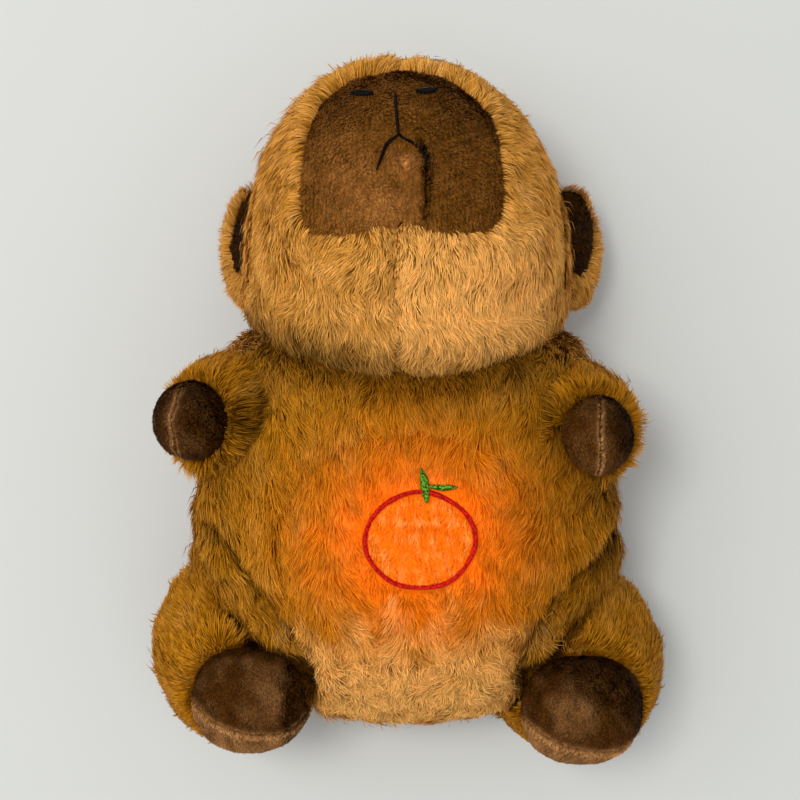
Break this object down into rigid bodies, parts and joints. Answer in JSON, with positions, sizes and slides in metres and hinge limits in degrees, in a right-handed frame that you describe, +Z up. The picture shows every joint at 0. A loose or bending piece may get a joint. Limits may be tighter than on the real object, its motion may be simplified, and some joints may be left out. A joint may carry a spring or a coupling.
{
  "type": "breathing plush toy",
  "caption": "Plush capybara lying on its back, with a motor unit that lifts its belly, a glowing belly patch, a nodding head, limbs that flex and a zip in its back.",
  "frame": {"origin": "middle of the flat that the toy's back rests on", "axes": "+X across the toy, +Y from the feet to the head, +Z up through the belly"},
  "size_m": [0.2205, 0.2953, 0.1371],
  "materials": {
    "fur": "long-pile plush",
    "dark_plush": "short-pile plush",
    "ear_lining": "short-pile plush",
    "filling": "polyester fibre",
    "black_thread": "satin stitch",
    "red_thread": "satin stitch",
    "green_thread": "satin stitch",
    "zip_tape": "woven tape",
    "zip_metal": "stamped",
    "steel": "zinc plated",
    "white_plastic": "moulded",
    "battery_jacket": "printed film, plain",
    "board_green": "solder mask",
    "speaker_black": "paper and plastic",
    "button_orange": "soft touch",
    "gear_plastic": "acetal",
    "brass": "turned",
    "lens": "translucent"
  },
  "bodies": {
    "torso": {"torso_skin": "fur", "torso_stuffing": "filling", "zip_tape": "zip_tape", "zip_teeth": "zip_metal", "housing_base": "white_plastic", "housing_lid": "white_plastic", "battery_cover": "white_plastic", "cover_screw": "steel", "lid_screw_1": "steel", "lid_screw_2": "steel", "battery_1": "battery_jacket", "battery_2": "battery_jacket", "battery_3": "battery_jacket", "contact_front": "steel", "contact_rear": "steel", "speaker": "speaker_black", "circuit_board": "board_green", "gear_frame": "steel", "gear_axle_1": "steel", "gear_axle_2": "steel", "motor": "steel", "led_board": "board_green", "led": "lens"},
    "belly": {"belly_panel": "fur", "belly_pad": "filling", "fruit_outline": "red_thread", "leaf_stem": "green_thread", "leaf_side": "green_thread", "lift_plate": "white_plastic", "led_diffuser": "lens"},
    "head": {"head_skin": "fur", "head_stuffing": "filling", "face_patch": "dark_plush", "nostril_left": "black_thread", "nostril_right": "black_thread", "mouth_stitch": "black_thread", "eye_left": "black_thread", "eye_right": "black_thread"},
    "ear_left": {"ear_left": "fur", "ear_lining_left": "ear_lining"},
    "ear_right": {"ear_right": "fur", "ear_lining_right": "ear_lining"},
    "arm_left": {"arm_left": "fur", "paw_left": "dark_plush"},
    "arm_right": {"arm_right": "fur", "paw_right": "dark_plush"},
    "leg_left": {"leg_left": "fur", "foot_left": "dark_plush"},
    "leg_right": {"leg_right": "fur", "foot_right": "dark_plush"},
    "zip_slider": {"zip_slider": "steel"},
    "zip_pull": {"zip_pull": "steel"},
    "power_button": {"power_button": "button_orange"},
    "sound_button": {"sound_button": "button_orange"},
    "light_button": {"light_button": "button_orange"},
    "motor_pinion": {"motor_pinion": "brass"},
    "reduction_gear_1": {"reduction_gear_1": "gear_plastic"},
    "reduction_gear_2": {"reduction_gear_2": "gear_plastic"}
  },
  "joints": [
    {"name": "breathe", "type": "slide", "parent": "torso", "child": "belly", "axis": [0, 0, 1], "range_m": [0, 0.01]},
    {"name": "motor_turn", "type": "hinge", "parent": "torso", "child": "motor_pinion", "pos_m": [0.002, -0.018, 0.051], "axis": [1, 0, 0], "range_deg": [-2, 862]},
    {"name": "gear_1_turn", "type": "hinge", "parent": "torso", "child": "reduction_gear_1", "pos_m": [0.004, -0.006, 0.051], "axis": [1, 0, 0], "range_deg": [-288, 2]},
    {"name": "gear_2_turn", "type": "hinge", "parent": "torso", "child": "reduction_gear_2", "pos_m": [0.009, 0.006, 0.051], "axis": [1, 0, 0], "range_deg": [-2, 97]},
    {"name": "head_nod", "type": "hinge", "parent": "torso", "child": "head", "pos_m": [0, 0.028, 0.0585], "axis": [1, 0, 0], "range_deg": [0, 18], "stiffness_Nm_per_rad": 2},
    {"name": "ear_left_flop", "type": "hinge", "parent": "head", "child": "ear_left", "pos_m": [-0.0505, 0.1255, 0.04], "axis": [0, 1, 0], "range_deg": [-15, 15], "stiffness_Nm_per_rad": 0.05},
    {"name": "ear_right_flop", "type": "hinge", "parent": "head", "child": "ear_right", "pos_m": [0.0545, 0.1255, 0.04], "axis": [0, 1, 0], "range_deg": [-15, 15], "stiffness_Nm_per_rad": 0.05},
    {"name": "arm_left_swing", "type": "hinge", "parent": "torso", "child": "arm_left", "pos_m": [-0.061, 0.052, 0.06], "axis": [1, 0, 0], "range_deg": [-15, 15], "stiffness_Nm_per_rad": 0.4},
    {"name": "arm_right_swing", "type": "hinge", "parent": "torso", "child": "arm_right", "pos_m": [0.061, 0.05, 0.06], "axis": [1, 0, 0], "range_deg": [-15, 15], "stiffness_Nm_per_rad": 0.4},
    {"name": "leg_left_swing", "type": "hinge", "parent": "torso", "child": "leg_left", "pos_m": [-0.071, -0.048, 0.039], "axis": [1, 0, 0], "range_deg": [-12, 12], "stiffness_Nm_per_rad": 1},
    {"name": "leg_right_swing", "type": "hinge", "parent": "torso", "child": "leg_right", "pos_m": [0.071, -0.053, 0.039], "axis": [1, 0, 0], "range_deg": [-12, 12], "stiffness_Nm_per_rad": 1},
    {"name": "zip_open", "type": "slide", "parent": "torso", "child": "zip_slider", "axis": [1, 0, 0], "range_m": [0, 0.066]},
    {"name": "zip_pull_turn", "type": "hinge", "parent": "zip_slider", "child": "zip_pull", "pos_m": [-0.033, -0.032, 0.0033], "axis": [0, 1, 0], "range_deg": [0, 170]},
    {"name": "power_press", "type": "slide", "parent": "torso", "child": "power_button", "axis": [0, 0, 1], "range_m": [0, 0.001], "stiffness_N_per_m": 500},
    {"name": "sound_press", "type": "slide", "parent": "torso", "child": "sound_button", "axis": [0, 0, 1], "range_m": [0, 0.001], "stiffness_N_per_m": 500},
    {"name": "light_press", "type": "slide", "parent": "torso", "child": "light_button", "axis": [0, 0, 1], "range_m": [0, 0.001], "stiffness_N_per_m": 500}
  ],
  "couplings": [
    {"joint": "motor_turn", "follows": "breathe", "rad_per_m": 1500},
    {"joint": "gear_1_turn", "follows": "breathe", "rad_per_m": -500},
    {"joint": "gear_2_turn", "follows": "breathe", "rad_per_m": 166.67}
  ]
}
